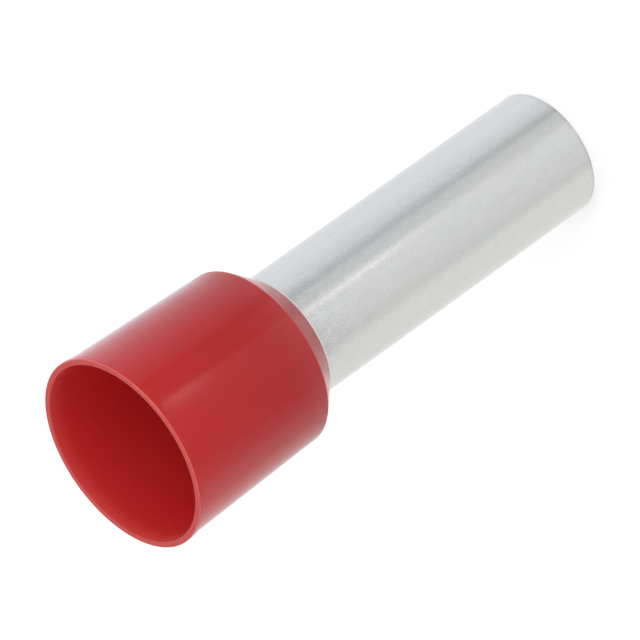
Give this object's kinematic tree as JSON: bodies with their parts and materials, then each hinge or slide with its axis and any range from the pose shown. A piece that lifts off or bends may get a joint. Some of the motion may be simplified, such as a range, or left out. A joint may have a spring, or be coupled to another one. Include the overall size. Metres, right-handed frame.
{
  "type": "wire ferrule",
  "caption": "Insulated wire ferrule: a thin tinned copper tube, flared inside the shoulder of a moulded plastic collar with a wide rimmed mouth.",
  "frame": {"origin": "centre of the tube's open end, on the surface that it stands on", "axes": "+Z along the tube's axis, from its open end up to the collar's mouth; X and Y are any two directions across it"},
  "size_m": [0.0136, 0.0136, 0.039],
  "materials": {
    "collar_plastic": "satin",
    "tinned_copper": "satin"
  },
  "bodies": {
    "root": {"insulating_collar": "collar_plastic", "copper_tube": "tinned_copper"}
  },
  "joints": []
}
